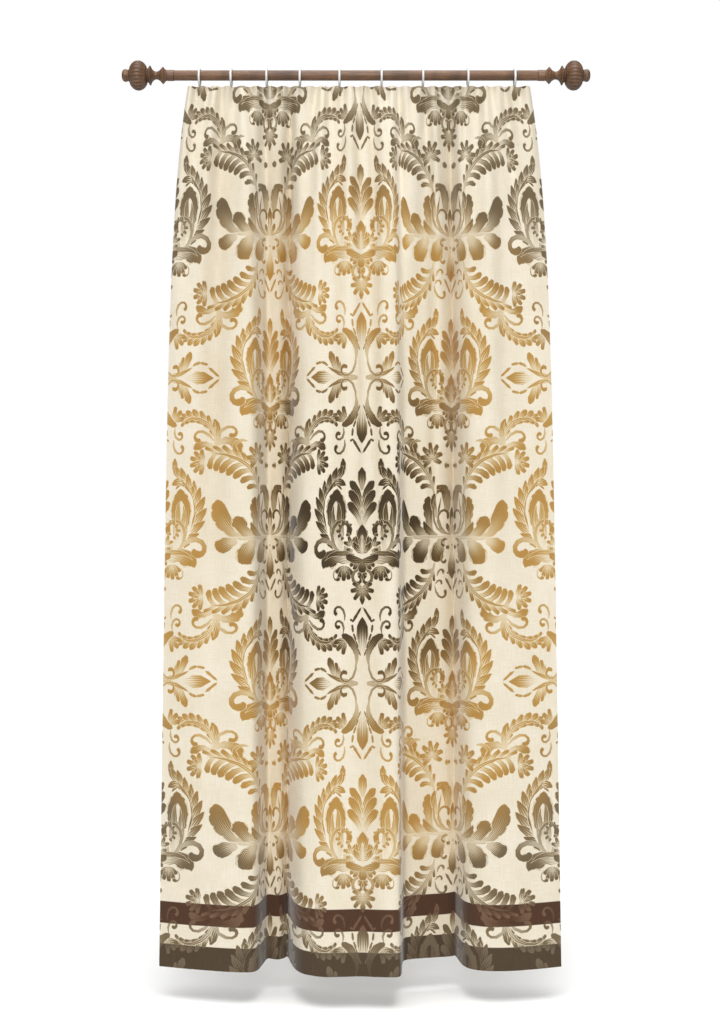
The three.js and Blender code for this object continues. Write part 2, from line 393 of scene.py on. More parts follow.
def acanthus():                         # broad leaves thrown out to both sides of a spindle
    half = [leaf(104, 0, 2, 158, 50, 100, -6, "petal", .34, lobes=4, deep=.22, side=-1)]    # outermost
    half += [leaf(74, 8, 62, 112, 36, 40, 0, "petal", .36, lobes=4, deep=.24, side=-1)]
    half += [leaf(58, 56, 52, 74, 24, 62)]
    half += [leaf(86, 0, 8, 92, 46, 80, 0, "comma", .3, lobes=3, deep=.22, lobesFrom=.55)]
    half += [leaf(58, 2, 10, 72, 25, 66, 0, "flame", .4, lobes=4, deep=.24, side=-1)]
    half += [leaf(x, 8, 8, length, 8, 168, -70, "line", .5) for x, length in ((26, 150), (14, 132))]
    half += [leaf(22, 74, 97, 98, 37, -16, -200, "flame", .5, lobes=5, deep=.2, side=1)]     # hooked crown
    half += [leaf(42, 140, 0, 20, 20, kind="bead", foot=.9), leaf(6, 8, 46, 36, 17, 30, 0, "lobe")]
    half += [leaf(8, 6, 6, 148, 15, 128, 190, "curl", .5)]          # heart round the spindle
    half += [leaf(146, -4, -20, 60, 46, -14, 0, "lobe", .3, lobes=2, deep=.2)]              # lower petals
    half += [leaf(92, -3, -46, 80, 60, -30, 0, "lobe", .3, lobes=3, deep=.22)]
    half += [leaf(38, -3, -56, 74, 54, -20, 0, "lobe", .3, lobes=3, deep=.22)]
    half += [leaf(6, 0, 0, 170, 10, 3, 0, "stem", .1, .3), leaf(12, -29, 0, 16, 16, kind="bead", foot=.8)]
    half += [leaf(22, -6, 12, 40, 17, -80, -190, "curl", .7)]
    half += [leaf(42, -48, -66, 40, 15, -60, -200, "curl", .6)]
    half += [leaf(14, -101, 0, 11, 11, kind="bead", foot=.8), leaf(31, -114, -128, 50, 11, 4, 0, "line", .95)]
    half += [leaf(60, -110, 100, 44, 14, 60, 200, "curl", .6)]
    half += [leaf(66, -132, 124, 34, 13, 40, 190, "curl", .6)]
    half += [leaf(68, -136, -96, 78, 15, -70, -190, "curl", .6)]
    made = both(half)
    made += [leaf(0, 6, 90, 80, 26, 0, 0, "blade", .2), leaf(0, 8, 90, 50, 8, 0, 0, "petal", .1, .3)]
    return made + [leaf(0, -34, -90, 88, 44, kind="blade", foot=.2), leaf(-4, -23, 0, 8, 8, kind="bead")]


def garlands():                         # from the acanthus to the bouquet's corners and on to the cross
    upper = fan(152, 187, 96, 262, 6, 37, 19, "lobe", swell=.1)
    upper += fan(152, 187, 130, 230, 3, 23, 12, "lobe", foot=.2)
    upper += [leaf(192, 240, 82, 70, 25, 30)]
    upper += frond(190, 236, 86, 154, 130, 12, ((-1, 7, .2, .98, 40, 20, 30, -14),
                                                (1, 6, .1, .98, 36, 18, 36, -14)), "lobe")
    upper += [leaf(186, 236, 36, 92, 34, -76, -110, "comma", .3, lobes=5, deep=.24, side=1)]
    upper += [leaf(182, 230, 152, 62, 26, 60, 40, "comma", .3, lobes=4, deep=.24, side=-1)]
    upper += [leaf(190, 258, 58, 100, 17, -60, -270, "curl", .5)]
    upper += [leaf(184, 246, 126, 98, 17, 50, 250, "curl", .5)]
    upper += frond(322, 96, 100, 214, 88, 13, ((-1, 8, .06, .97, 46, 19, 30, -14),
                                               (1, 7, .04, .97, 66, 23, 34, 74)), "comma")
    made = upper + placed(upper, flipY=True)
    made += fan(312, 200, -24, 222, 7, 40, 20, "lobe", swell=.1)
    made += fan(312, 202, 40, 160, 4, 24, 12, "lobe", foot=.2)
    made += [leaf(274, 246, 166, 62, 18, 70, 140, "curl", .5)]
    made += [leaf(358, 178, 0, 21, 21, kind="bead", foot=.8)]
    return made


def wholeFigure():                      # everything that can reach into one tile of the repeat
    across, up, low = figure["across"], figure["repeat"] / 2, -figure["bouquetLow"]
    shapes = garlands() + placed(cross(), 0, up) + placed(cross(), 0, -up)
    shapes += placed(acanthus(), across, -figure["acanthusLow"]) + placed(bouquet(), 0, low)
    shapes += placed(bouquet(), across, up + low) + placed(bouquet(), across, low - up)
    return [s for s in shapes if s["rim"][:, 0].max() > 0 and s["rim"][:, 0].min() < across
            and s["rim"][:, 1].max() > -up and s["rim"][:, 1].min() < up]


# The figure cut into the cloth's mesh. The face and the back have the same triangles, so that
# neither cuts through the other in a tight fold.

cutting = dict(
    merging=1.6,                        # corners of leaves closer than this become one, in millimetres
    columns=26,                         # grid of points between the leaves, across a tile
    rows=23,                            # and up it
    fineRows=29,                        # rows in the gathers, with twice the columns
    gathersReach=330,                   # below the top of the uppermost tile
    clearOfLines=4,                     # between a grid point and a line of the figure
    spineFrom=30,                       # width of a leaf that gets points along its middle
    creaseFrom=0.68,                    # share of a tile past which its deepest creases fall
    longLine=9,                         # a line wider than this is divided there
)


def insideLoop(points, loop):           # which points a closed line goes round
    a, b = loop, np.roll(loop, -1, axis=0)
    x, y = points[:, :1], points[:, 1:]
    turn = (b[:, 0] - a[:, 0]) * (y - a[:, 1]) - (x - a[:, 0]) * (b[:, 1] - a[:, 1])
    rising = (a[:, 1] <= y) & (b[:, 1] > y) & (turn > 0)
    falling = (a[:, 1] > y) & (b[:, 1] <= y) & (turn < 0)
    return rising.sum(1) != falling.sum(1)


def nearest(points, line):              # distance to a line, the stretch of it, and where and on which hand
    a, run = line[:-1], np.diff(line, axis=0)
    away = points[:, None] - a
    share = np.clip((away * run).sum(2) / ((run ** 2).sum(1) + 1e-9), 0, 1)
    away = away - run * share[..., None]
    distance = np.hypot(away[..., 0], away[..., 1])
    k = distance.argmin(1)
    row = np.arange(len(points))
    hand = np.sign(run[k, 0] * away[row, k, 1] - run[k, 1] * away[row, k, 0])
    return distance[row, k], k, share[row, k], hand


def cutUp(points, edges):               # triangles between the lines, as arrays
    cut = delaunay_2d_cdt([Vector(p) for p in points], edges, [], 0, 1e-4, False)
    return np.array([tuple(v) for v in cut[0]]), np.array(cut[2])


def owners(flat, triangles, shapes):    # the number of the topmost leaf over each triangle
    centres = flat[triangles].mean(1)
    owner = np.full(len(triangles), -1)
    for number, shape in enumerate(shapes):
        low, high = shape["rim"].min(0), shape["rim"].max(0)
        near = np.flatnonzero(((centres > low) & (centres < high)).all(1))
        if len(near):
            owner[near[insideLoop(centres[near], shape["rim"])]] = number
    return owner


def roundTile(xs, ys):                  # the points along the tile's edge, once round
    low = [(x, ys[0]) for x in xs[:-1]]
    right = [(xs[-1], y) for y in ys[:-1]]
    high = [(x, ys[-1]) for x in xs[:0:-1]]
    left = [(xs[0], y) for y in ys[:0:-1]]
    return np.array(low + right + high + left)


# The lines of the figure that show, and the points where lines reach the tile's edge
def shownLines(shapes, edgeLoop):
    across, up, merge = figure["across"], figure["repeat"] / 2, cutting["merging"]

    def toEdge(v):
        return min(v.co.x, across - v.co.x, up - abs(v.co.y))

    points, edges = [], []
    for loop in [s["rim"] for s in shapes] + [edgeLoop]:
        first, n = len(points), len(loop)
        points.extend(loop.tolist())
        edges.extend((first + i, first + (i + 1) % n) for i in range(n))
    flat, triangles = cutUp(points, edges)
    owner = owners(flat, triangles, shapes)
    bm = bmesh.new()
    verts = [bm.verts.new((x, y, 0)) for x, y in flat]
    layer = bm.faces.layers.int.new("owner")
    for corners, number in zip(triangles.tolist(), owner.tolist()):
        x, y = flat[corners].mean(0)
        if 0 < x < across and abs(y) < up:
            bm.faces.new([verts[c] for c in corners])[layer] = number
    hidden = [e for e in bm.edges if not e.is_boundary and len({f[layer] for f in e.link_faces}) == 1]
    bmesh.ops.delete(bm, geom=bm.faces[:], context="FACES_ONLY")
    bmesh.ops.delete(bm, geom=hidden, context="EDGES")
    free = [v for v in bm.verts if toEdge(v) > merge]
    bmesh.ops.delete(bm, geom=[v for v in free if not v.link_edges], context="VERTS")
    bmesh.ops.remove_doubles(bm, verts=[v for v in free if v.is_valid], dist=merge)
    inner = [v for v in bm.verts if toEdge(v) > merge]
    bmesh.ops.dissolve_limit(bm, angle_limit=radians(4 + merge * 3), verts=inner, edges=bm.edges)
    bm.verts.index_update()
    left = [tuple(v.co.xy) for v in bm.verts]
    kept = [tuple(v.index for v in e.verts) for e in bm.edges]
    bm.free()
    return left, kept


# Triangles of one tile, x from 0 to across and y up and down from its middle, with what the cloth's
# material reads at their corners
def tile(shapes, fineRows):
    across, up, c = figure["across"], figure["repeat"] / 2, cutting
    xs, ys = np.linspace(0, across, c["columns"] + 1), np.linspace(-up, up, c["rows"] + 1)
    points, edges = shownLines(shapes, roundTile(xs, ys))
    ends = np.array(points)[np.array(edges)]
    inCrease = ends[:, :, 0].max(1) > c["creaseFrom"] * across
    wide = ends[(abs(ends[:, 1, 0] - ends[:, 0, 0]) > c["longLine"]) & inCrease]
    onLines = np.concatenate([wide[:, 0] + (wide[:, 1] - wide[:, 0]) * k for k in (0.25, 0.5, 0.75)])
    closer = (xs[1:] + xs[:-1])[int(0.7 * c["columns"]):] / 2       # one more column in each gap there
    grid = [np.stack(np.meshgrid(np.append(xs[1:-1], closer), ys[1:-1]), -1).reshape(-1, 2)]
    if fineRows:                        # the gathers need more points than the rest
        fineX = np.linspace(0, across, c["columns"] * 2 + 1)[1:-1]
        fineY = np.linspace(up - c["gathersReach"], up, fineRows)[:-1]
        grid.append(np.stack(np.meshgrid(fineX, fineY), -1).reshape(-1, 2))
    spines = [s["spine"][1:-1] for s in shapes if s["width"] > c["spineFrom"]]
    inner = np.concatenate(grid + spines)
    drawn = np.array(points)
    room = np.array([np.hypot(*(drawn - p).T).min() for p in inner])
    points.extend(inner[room > c["clearOfLines"]].tolist() + onLines.tolist())
    flat, triangles = cutUp(points, edges)
    centres = flat[triangles].mean(1)
    triangles = triangles[(centres[:, 0] > 0) & (centres[:, 0] < across) & (abs(centres[:, 1]) < up)]
    owner = owners(flat, triangles, shapes)

    # along, across and half width of the leaf at each corner, then its depth at foot and tip and its stripes
    vein = np.zeros((len(triangles), 3, 3))
    thread = np.zeros((len(triangles), 3, 3))
    chance = np.random.default_rng(5)
    for number, shape in enumerate(shapes):
        mine = np.flatnonzero(owner == number)
        stripes = shape["width"] / 6 + chance.random()
        if not len(mine):
            continue
        corners, back = np.unique(triangles[mine], return_inverse=True)
        at = flat[corners]
        toSpine, k, share, hand = nearest(at, shape["spine"])
        toRim = nearest(at, np.concatenate((shape["rim"], shape["rim"][:1])))[0]
        half = toSpine + toRim
        place = shape["marks"][k] + share * np.diff(shape["marks"])[k]
        found = np.stack((place, hand * toSpine / (half + 1e-6), half * mm), 1)
        vein[mine] = found[back.reshape(-1, 3)]
        thread[mine] = (shape["foot"], shape["tip"], stripes)
    return flat, triangles, vein, thread


# One side of the cloth, flat, in metres: the tiles side by side with every other one mirrored
def flatSide(face, plain, top):
    across, repeat = figure["across"], figure["repeat"]
    points, faces, veins, threads, start = [], [], [], [], 0
    for row in (-1, 0, 1):
        flat, triangles, vein, thread = top if row == -1 else plain
        for column in (-2, -1, 0, 1):
            mirrored = column % 2 == 1
            x = (column + 1) * across - flat[:, 0] if mirrored else column * across + flat[:, 0]
            y = flat[:, 1] - figure["middle"] - row * repeat
            points.append(np.stack((x, y, np.full(len(x), face / mm)), 1) * mm)
            order = [0, 2, 1] if mirrored == (face == 1) else [0, 1, 2]
            faces.append(triangles[:, order] + start)
            veins.append(vein[:, order])
            threads.append(thread[:, order])
            start += len(x)
    mesh = bpy.data.meshes.new("flatSide")
    mesh.from_pydata(np.concatenate(points).tolist(), [], np.concatenate(faces).tolist())
    for name, vectors in (("vein", veins), ("thread", threads)):
        layer = mesh.attributes.new(name, "FLOAT_VECTOR", "CORNER")
        layer.data.foreach_set("vector", np.concatenate(vectors).ravel())
    return mesh


curtain = dict(
    width=1.5,                          # flat size of the cloth, side to side
    drop=2.45,                          # and from heading to hem
    thickness=0.002,
    headingWidth=0.949,                 # what the gathers draw the heading in to
    centre=0.008,                       # the panel hangs a little to the right of the rod's middle
    headingTop=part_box("curtain_cloth")[1][2],
    quickSpread=0.6,                    # share of the widening that happens just under the heading
    quickSpreadBy=0.13,
    foldsRiseBy=0.13,                   # the main folds are at full depth soon below this
    hemTakesOver=1.3,                   # power that turns the shoulder's folds into the hem's
    gatherDepth=0.008,                  # small gathers at the heading
    gatherGoneBy=0.06,
    pleatDepth=0.010,                   # pleats that two gathers run into
    pleatAt=0.07,
)

# x of each ring in millimetres, with the gathers between it and the ring before it
heading = ((-435, 1), (-347, 2.5), (-248, 2.5), (-156, 2.5), (-46, 3), (71, 3), (186, 3), (311, 3.5),
           (441, 3.5))
gathersPastLastRing = 1

# Main folds in millimetres, left edge to right: place across the flat cloth, place across the hem, and
# how far the cloth stands in front of the rod's axis at the hem and high up, just out of the gathers
folds = np.array((
    (-750, -557, -18, -12), (-660, -476, 6, 20), (-598, -412, 22, 4), (-558, -362, 32, 24),
    (-526, -324, 36, 34), (-498, -294, 34, 34), (-474, -280, 14, 20), (-452, -273, -18, -4),
    (-430, -267, -52, -30), (-411, -262, -78, -52), (-396, -255, -86, -58), (-374, -243, -80, -54),
    (-345, -229, -76, -52), (-318, -217, -84, -60), (-297, -208, -98, -78), (-287, -204, -104, -86),
    (-277, -199, -92, -74), (-260, -193, -58, -42), (-241, -183, -14, -8), (-222, -171, 20, 14),
    (-200, -155, 46, 30), (-167, -128, 64, 40), (-119, -92, 76, 42), (-60, -44, 74, 34),
    (-10, 2, 70, 30), (44, 52, 76, 40), (84, 89, 78, 41), (114, 109, 74, 39), (138, 116, 52, 36),
    (162, 118, 10, 31), (188, 121, -38, 25), (210, 126, -64, 18), (229, 136, -74, 12),
    (254, 156, -82, 4), (284, 182, -88, -6), (314, 208, -93, -16), (342, 231, -98, -28),
    (366, 251, -102, -52), (382, 262, -106, -78), (392, 269, -110, -96), (400, 273, -112, -104),
    (409, 277, -103, -95), (430, 283, -68, -55), (456, 291, -26, -14), (484, 306, 2, 14),
    (512, 330, 18, 26), (548, 366, 26, 32), (605, 424, 24, 12), (670, 494, 8, -6),
    (750, 564, -14, -12),
)) * mm

# Narrow creases that run down out of the gathers: place across the flat cloth, half width and depth in
# millimetres, and the share of the drop by which they have faded
creases = np.array((
    (-592, 34, 14, 0.5), (-75, 20, 14, 0.3), (-6, 17, 16, 0.3), (50, 18, 18, 0.46),
    (314, 18, 18, 0.42), (585, 26, 12, 0.3),
))


def hang(flat, down):                   # place of a point of the flat cloth once it hangs
    c = curtain
    quick = (1 - np.exp(-down / c["quickSpreadBy"])) * c["quickSpread"]
    spread = quick + down * (1 - c["quickSpread"])
    fullness = c["headingWidth"] / c["width"]
    hung, hem, shoulder = (smoothRow(folds[:, (0, k)], flat) for k in (1, 2, 3))
    x = c["centre"] + flat * fullness + spread * (hung - flat * fullness)
    main = shoulder + (hem - shoulder) * down ** c["hemTakesOver"]
    risen = 1 - np.exp(-down / c["foldsRiseBy"])
    atRings = [(ringX * mm - c["centre"]) / fullness for ringX, _ in heading]
    ends = [-c["width"] / 2] + atRings + [c["width"] / 2]
    counts = np.cumsum([0] + [gathers for _, gathers in heading] + [gathersPastLastRing])
    turn = np.interp(flat, ends, counts) * 2 * pi
    gather = c["gatherDepth"] * np.exp(-down / c["gatherGoneBy"]) * np.sin(turn)
    ripe = (down / c["pleatAt"]) * np.exp(1 - down / c["pleatAt"])
    pleat = c["pleatDepth"] * ripe * np.sin(turn / 2 + np.sin(turn / 9))
    for at, halfWidth, depth, gone in creases:
        main = main - depth * mm * np.exp(-((flat / mm - at) / halfWidth) ** 2 - (down / gone) ** 2)
    return np.stack((x, -(main * risen + gather + pleat), c["headingTop"] - down * c["drop"]), -1)


def outwards(flat, down):               # the hung cloth's normal, towards the room
    step = 0.5 * mm
    edge = curtain["width"] / 2 - step
    u = np.clip(flat, -edge, edge)
    v = np.clip(down, step / curtain["drop"], 1 - step / curtain["drop"])
    across = hang(u + step, down) - hang(u - step, down)
    downwards = hang(flat, v + step / curtain["drop"]) - hang(flat, v - step / curtain["drop"])
    normal = np.cross(across, downwards)
    normal *= np.sign(-normal[:, 1:2])
    return normal / np.linalg.norm(normal, axis=1, keepdims=True)


def closeRim(bm):                       # a strip of triangles between the edges of the two sides
    halfWidth, drop = curtain["width"] / 2, curtain["drop"]
    sides = ((0, -halfWidth, 1), (0, halfWidth, 1), (1, 0, 0), (1, -drop, 0))
    for axis, where, along in sides:
        near = [v for v in bm.verts if abs(v.co[axis] - where) < 1e-6 and v.is_boundary]
        front = sorted((v for v in near if v.co.z > 0.5), key=lambda v: v.co[along])
        back = sorted((v for v in near if v.co.z < 0.5), key=lambda v: v.co[along])
        i = j = 0
        while i < len(front) - 1 or j < len(back) - 1:
            if j == len(back) - 1:
                onFront = True
            else:
                onFront = i < len(front) - 1 and front[i + 1].co[along] <= back[j + 1].co[along]
            if onFront:
                bm.faces.new((front[i], front[i + 1], back[j]))
                i += 1
            else:
                bm.faces.new((front[i], back[j + 1], back[j]))
                j += 1


def flatCloth():                        # both sides and the rim as one closed mesh, still flat
    bm = bmesh.new()
    halfWidth, drop = curtain["width"] / 2, curtain["drop"]
    shapes = wholeFigure()
    plain, top = tile(shapes, 0), tile(shapes, cutting["fineRows"])
    for face in (1, 0):
        side = flatSide(face, plain, top)
        bm.from_mesh(side)
        bpy.data.meshes.remove(side)
    bmesh.ops.remove_doubles(bm, verts=bm.verts, dist=0.1 * mm)
    for place, out in (((halfWidth, 0, 0), (1, 0, 0)), ((-halfWidth, 0, 0), (-1, 0, 0)),
                       ((0, 0, 0), (0, 1, 0)), ((0, -drop, 0), (0, -1, 0))):
        everything = bm.verts[:] + bm.edges[:] + bm.faces[:]
        bmesh.ops.bisect_plane(bm, geom=everything, dist=1e-6, plane_co=place, plane_no=out,
                               clear_outer=True)
    bmesh.ops.triangulate(bm, faces=[f for f in bm.faces if len(f.verts) > 3])
    closeRim(bm)
    bmesh.ops.recalc_face_normals(bm, faces=bm.faces)
    openEdges = sum(1 for e in bm.edges if len(e.link_faces) != 2)
    print("curtain: open edges", openEdges, "triangles", len(bm.faces))
    return bm


def readFlat(mesh):                     # places of the corners on the flat cloth
    flat = np.zeros(len(mesh.vertices) * 3)
    mesh.vertices.foreach_get("co", flat)
    return flat.reshape(-1, 3)


# UV maps of the cloth in metres and of both sides laid apart, and which side each corner is on
def addMaps(mesh, flat):
    corners = np.zeros(len(mesh.loops), int)
    mesh.loops.foreach_get("vertex_index", corners)
    metres = mesh.uv_layers.new(name="cloth")
    metres.data.foreach_set("uv", flat[corners, :2].ravel())
    halves = mesh.uv_layers.new(name="OFBake")              # face in the left half, back in the right
    across = (flat[:, 0] / curtain["width"] + 0.5) * 0.47 + 0.015 + 0.5 * (flat[:, 2] < 0.5)
    upwards = 1 + flat[:, 1] / curtain["drop"]
    halves.data.foreach_set("uv", np.stack((across, upwards * 0.98 + 0.01), 1)[corners].ravel())
    side = mesh.attributes.new("side", "FLOAT", "POINT")
    side.data.foreach_set("value", flat[:, 2])


def makeCurtain(material):
    bm = flatCloth()
    mesh = bpy.data.meshes.new("curtain")
    bm.to_mesh(mesh)
    bm.free()
    flat = readFlat(mesh)
    addMaps(mesh, flat)
    down = np.clip(-flat[:, 1] / curtain["drop"], 0, 1)
    normal = outwards(flat[:, 0], down)
    hand = np.where(flat[:, 2:] > 0.5, 1.0, -1.0)
    hung = hang(flat[:, 0], down) + normal * hand * curtain["thickness"] / 2
    mesh.vertices.foreach_set("co", hung.ravel())
    mesh.shade_smooth()
    mesh.update()
    mesh.normals_split_custom_set_from_vertices((normal * hand).tolist())
    piece = newPiece("curtain", mesh, material)
    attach(piece, "root")
    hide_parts("curtain_cloth")
    return piece


# Cloth material

damaskColours = dict(
    ground=colour(239, 230, 212),
    groundDeep=colour(226, 214, 188),
    heart=colour(67, 54, 33),           # dye of the figure at the middle of the panel, then outwards
    umber=colour(128, 104, 66),
    gold=colour(196, 157, 90),
    grey=colour(120, 107, 86),
    heartAt=1.251,                      # below the heading
    upperBand=colour(82, 58, 45),       # dye of the bands
    lowerBand=colour(82, 70, 58),
    upperBandAt=(2.267, 2.328),
    lowerBandAt=(2.385, 2.460),
    paintedShadeTint=(0.66, 0.60, 0.52, 1),       # what full depth of the painted shade in the creases leaves of the light
)

# Painted shade in the creases, where the folds' shadow falls: place across the flat cloth in millimetres and
# depth, high up and at the hem
paintedShadeHigh = ((-660, 0), (-590, 0.3), (-540, 0), (-440, 0), (-400, 0.3), (-345, 0.42), (-302, 0.36),
              (-287, 0.6), (-268, 0), (-105, 0), (-75, 0.25), (-45, 0), (-28, 0), (-6, 0.4), (14, 0),
              (30, 0.05), (50, 0.45), (76, 0), (200, 0), (290, 0), (314, 0.4), (338, 0), (374, 0.1),
              (388, 0.25), (400, 0.5), (414, 0), (555, 0), (585, 0.2), (615, 0), (750, 0))
paintedShadeLow = ((-700, 0), (-640, 0.08), (-570, 0), (-440, 0), (-400, 0.3), (-345, 0.4), (-302, 0.36),
             (-287, 0.55), (-268, 0), (-40, 0), (10, 0.16), (45, 0.2), (80, 0), (150, 0), (210, 0.1),
             (300, 0.15), (364, 0.2), (388, 0.25), (400, 0.45), (416, 0), (750, 0))


def within(tree, value, low, high, soft=0.0012):
    past = ease(tree, value, low - soft, low + soft)
    short = ease(tree, value, high - soft, high + soft, 1, 0)
    return calc(tree, "MULTIPLY", past, short)


def linenGround(tree, flat, down):      # slubs both ways over a slow variation, with painted shade in the creases
    c = damaskColours
    weft = noise(tree, stretch(tree, flat, (26, 620, 1)), 1, 3, 0.6)
    warp = noise(tree, stretch(tree, flat, (560, 20, 1)), 1, 3, 0.6)
    slubs = calc(tree, "MULTIPLY", calc(tree, "ADD", weft, warp), 0.5)
    slow = noise(tree, flat, 9, 2, 0.5)
    worn = calc(tree, "ADD", calc(tree, "MULTIPLY", slubs, 1.7), calc(tree, "MULTIPLY", slow, 0.5))
    ground = blendColour(tree, ease(tree, worn, 0.78, 1.4), c["groundDeep"], c["ground"])
    width = curtain["width"]
    overPanel = calc(tree, "ADD", calc(tree, "MULTIPLY", separate(tree, flat)[0], 1 / width), 0.5)
    high, low = ([(at * mm / width + 0.5, (depth, depth, depth, 1)) for at, depth in rows]
                 for rows in (paintedShadeHigh, paintedShadeLow))
    # painted shade: the ground darkened along the fold creases where shadow falls, fading in below the
    # heading
    paintedCreaseShade = blendColour(tree, ease(tree, down, 0.75, 1.6), ramp(tree, overPanel, high),
                          ramp(tree, overPanel, low))
    depth = calc(tree, "MULTIPLY", paintedCreaseShade, ease(tree, down, 0.05, 0.35))
    return slubs, darkenGround(tree, ground, c["paintedShadeTint"], depth)


def figureInk(tree, flat, down):        # dark at the middle of the panel, gold round it and grey outside
    c = damaskColours
    below = calc(tree, "SUBTRACT", c["heartAt"], down)
    reach = tree.nodes.new("ShaderNodeVectorMath")
    reach.operation = "LENGTH"
    tree.links.new(combine(tree, separate(tree, flat)[0], below), reach.inputs[0])
    drift = calc(tree, "MULTIPLY", calc(tree, "SUBTRACT", noise(tree, flat, 5, 3, 0.6), 0.5), 0.16)
    distance = calc(tree, "MULTIPLY", calc(tree, "ADD", reach.outputs["Value"], drift), 1 / 1.4)
    return ramp(tree, distance, ((0, c["heart"]), (0.18, c["heart"]), (0.31, c["umber"]), (0.43, c["gold"]),
                                 (0.61, c["gold"]), (0.76, c["grey"]), (1, c["grey"])))


# Depth of colour over a leaf: pale at its foot, deep at its tip, with lines running into each other
def figureDepth(tree, slubs):
    along, across, half = separate(tree, readAttribute(tree, "vein").outputs["Vector"])
    foot, tip, stripes = separate(tree, readAttribute(tree, "thread").outputs["Vector"])
    outer = calc(tree, "ABSOLUTE", across)
    wave = calc(tree, "COSINE", calc(tree, "MULTIPLY", calc(tree, "MULTIPLY", across, stripes), pi))
    reached = calc(tree, "MULTIPLY_ADD", wave, -0.1, calc(tree, "MULTIPLY_ADD", outer, 0.12, along))
    tipward = ease(tree, reached, 0.18, 0.8)
    level = calc(tree, "MULTIPLY_ADD", calc(tree, "SUBTRACT", tip, foot), tipward, foot)
    lined = calc(tree, "MULTIPLY", ease(tree, along, 0, 0.2), ease(tree, along, 0.5, 0.9, 1, 0))
    lined = calc(tree, "MULTIPLY", lined, calc(tree, "GREATER_THAN", tip, 0.01))
    level = calc(tree, "MULTIPLY_ADD", calc(tree, "MULTIPLY", wave, -0.2), lined, level, clamp=True)
    level = calc(tree, "POWER", level, 1.4)
    toRim = calc(tree, "MULTIPLY", calc(tree, "SUBTRACT", 1, outer), half)
    line = calc(tree, "MULTIPLY", ease(tree, toRim, 0.0006, 0.002, 1, 0), ease(tree, along, 0.25, 0.5))
    level = calc(tree, "MULTIPLY", level, calc(tree, "MULTIPLY_ADD", line, -0.85, 1))
    return calc(tree, "MULTIPLY", level, calc(tree, "MULTIPLY_ADD", slubs, 0.5, 0.75), clamp=True)


def damaskCloth():
    c = damaskColours
    material, tree, shader = newMaterial("damaskCloth", Sheen_Weight=0.25, Sheen_Roughness=0.45,
                                         Specular_IOR_Level=0.25)
    place = tree.nodes.new("ShaderNodeUVMap")
    place.uv_map = "cloth"
    flat = place.outputs[0]
    down = calc(tree, "MULTIPLY", separate(tree, flat)[1], -1)
    slubs, ground = linenGround(tree, flat, down)
    ink, drawn = figureInk(tree, flat, down), figureDepth(tree, slubs)
    printed = darkenGround(tree, ground, ink, drawn)

    # two bands above the hem, with the figure showing through
    upper = within(tree, down, *c["upperBandAt"])
    lower = within(tree, down, *c["lowerBandAt"])
    bandInk = blendColour(tree, lower, c["upperBand"], c["lowerBand"])
    bandDepth = calc(tree, "MULTIPLY_ADD", drawn, -0.3, calc(tree, "MULTIPLY_ADD", slubs, 0.6, 0.66))
    banded = darkenGround(tree, ground, bandInk, bandDepth)
    inBand = calc(tree, "ADD", upper, lower, clamp=True)
    faceColour = blendColour(tree, inBand, printed, banded)

    # the back is the bare ground with the figure showing through faintly
    backShare = calc(tree, "MULTIPLY", calc(tree, "ADD", drawn, inBand, clamp=True), 0.3)
    backColour = darkenGround(tree, ground, ink, backShare)
    front = ease(tree, readAttribute(tree, "side").outputs["Fac"], 0.4, 0.6)
    tree.links.new(blendColour(tree, front, backColour, faceColour), shader.inputs["Base Color"])

    rough = calc(tree, "MULTIPLY_ADD", drawn, -0.2, 0.86)
    connect(tree, shader.inputs["Roughness"], calc(tree, "MULTIPLY_ADD", slubs, 0.08, rough))
    weave = noise(tree, stretch(tree, flat, (900, 900, 1)), 1, 1, 0.5)
    height = calc(tree, "ADD", calc(tree, "MULTIPLY", slubs, 0.7), calc(tree, "MULTIPLY", weave, 0.3))
    height = calc(tree, "MULTIPLY_ADD", drawn, 0.15, height)
    tree.links.new(bump(tree, height, 0.35, 0.0006), shader.inputs["Normal"])
    return material


# Wood, shared by the rod and the finials


def grainGroup():
    group = bpy.data.node_groups.new("woodGrain", "ShaderNodeTree")
    sockets = (("Place", "INPUT", "Vector"), ("Pale", "INPUT", "Color"), ("Deep", "INPUT", "Color"),
               ("Figure", "INPUT", "Float"), ("Colour", "OUTPUT", "Color"), ("Height", "OUTPUT", "Float"))
    for name, way, kind in sockets:
        group.interface.new_socket(name, in_out=way, socket_type="NodeSocket" + kind)
    given, result = group.nodes.new("NodeGroupInput"), group.nodes.new("NodeGroupOutput")
    place, paleShade, deepShade, amount = given.outputs[:4]
    wavy = noise(group, stretch(group, place, (6, 40, 40)), 1, 3, 0.6, 0.6)
    lines = noise(group, stretch(group, place, (14, 330, 330)), 1, 4, 0.65, 0.3)
    patches = noise(group, stretch(group, place, (13, 4, 4)), 1, 2, 0.5)
    pores = ease(group, noise(group, stretch(group, place, (90, 900, 900)), 1, 2, 0.5), 0.62, 0.72)
    mixed = calc(group, "ADD", calc(group, "MULTIPLY", wavy, 0.45), calc(group, "MULTIPLY", lines, 0.55))
    shade = blendColour(group, ease(group, mixed, 0.34, 0.66), deepShade, paleShade)
    darker = blendColour(group, 0.45, deepShade, (0, 0, 0, 1))
    patchy = calc(group, "MULTIPLY", ease(group, patches, 0.44, 0.66), amount)
    shade = blendColour(group, patchy, shade, darker)
    shade = blendColour(group, calc(group, "MULTIPLY", pores, 0.4), shade, darker)
    group.links.new(shade, result.inputs["Colour"])
    height = calc(group, "SUBTRACT", lines, calc(group, "MULTIPLY", pores, 0.5))
    group.links.new(height, result.inputs["Height"])
    return group


